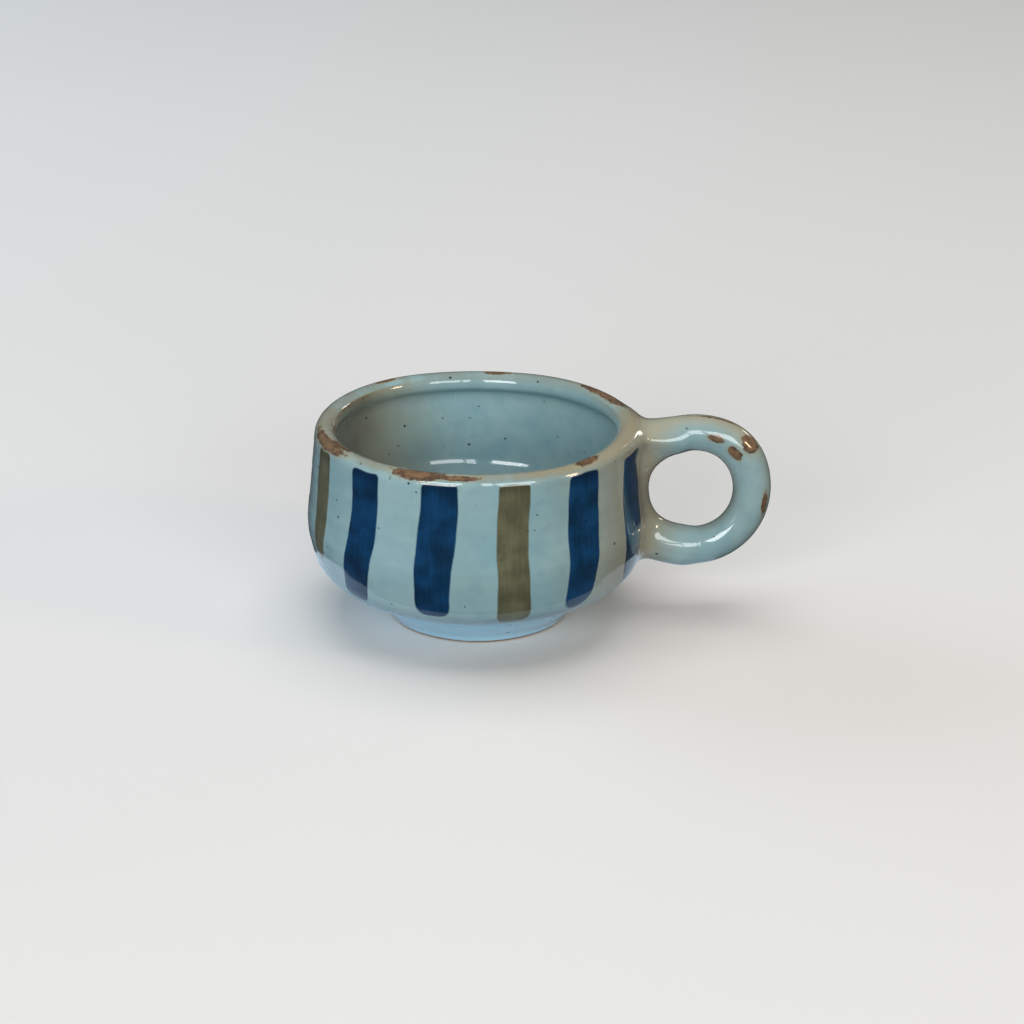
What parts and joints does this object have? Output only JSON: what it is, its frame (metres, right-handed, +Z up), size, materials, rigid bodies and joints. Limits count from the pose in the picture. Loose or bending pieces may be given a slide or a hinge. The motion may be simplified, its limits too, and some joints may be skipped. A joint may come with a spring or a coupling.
{
  "type": "mug",
  "caption": "Low, wide stoneware mug with a rolled rim, conical foot ring, upright ring handle and dark upright brush strokes under pale celadon glaze; holds a hot drink.",
  "frame": {"origin": "on the surface the mug stands on, under the middle of its whole outline, handle included; the bowl's own axis is 18.9 mm toward -X", "axes": "+Z up, +X the way the handle points; the bowl turns about a vertical axis"},
  "size_m": [0.1425, 0.1049, 0.0636],
  "materials": {
    "celadon_glaze": "gloss",
    "cobalt_slip": "gloss",
    "iron_slip": "gloss"
  },
  "bodies": {
    "root": {"bowl": "celadon_glaze", "foot_ring": "celadon_glaze", "handle_ring": "celadon_glaze", "upper_handle_joint": "celadon_glaze", "lower_handle_joint": "celadon_glaze", "cobalt_stroke_1": "cobalt_slip", "cobalt_stroke_2": "cobalt_slip", "cobalt_stroke_3": "cobalt_slip", "cobalt_stroke_4": "cobalt_slip", "cobalt_stroke_5": "cobalt_slip", "cobalt_stroke_6": "cobalt_slip", "cobalt_stroke_7": "cobalt_slip", "cobalt_stroke_8": "cobalt_slip", "iron_stroke_1": "iron_slip", "iron_stroke_2": "iron_slip", "iron_stroke_3": "iron_slip", "iron_stroke_4": "iron_slip"}
  },
  "joints": []
}
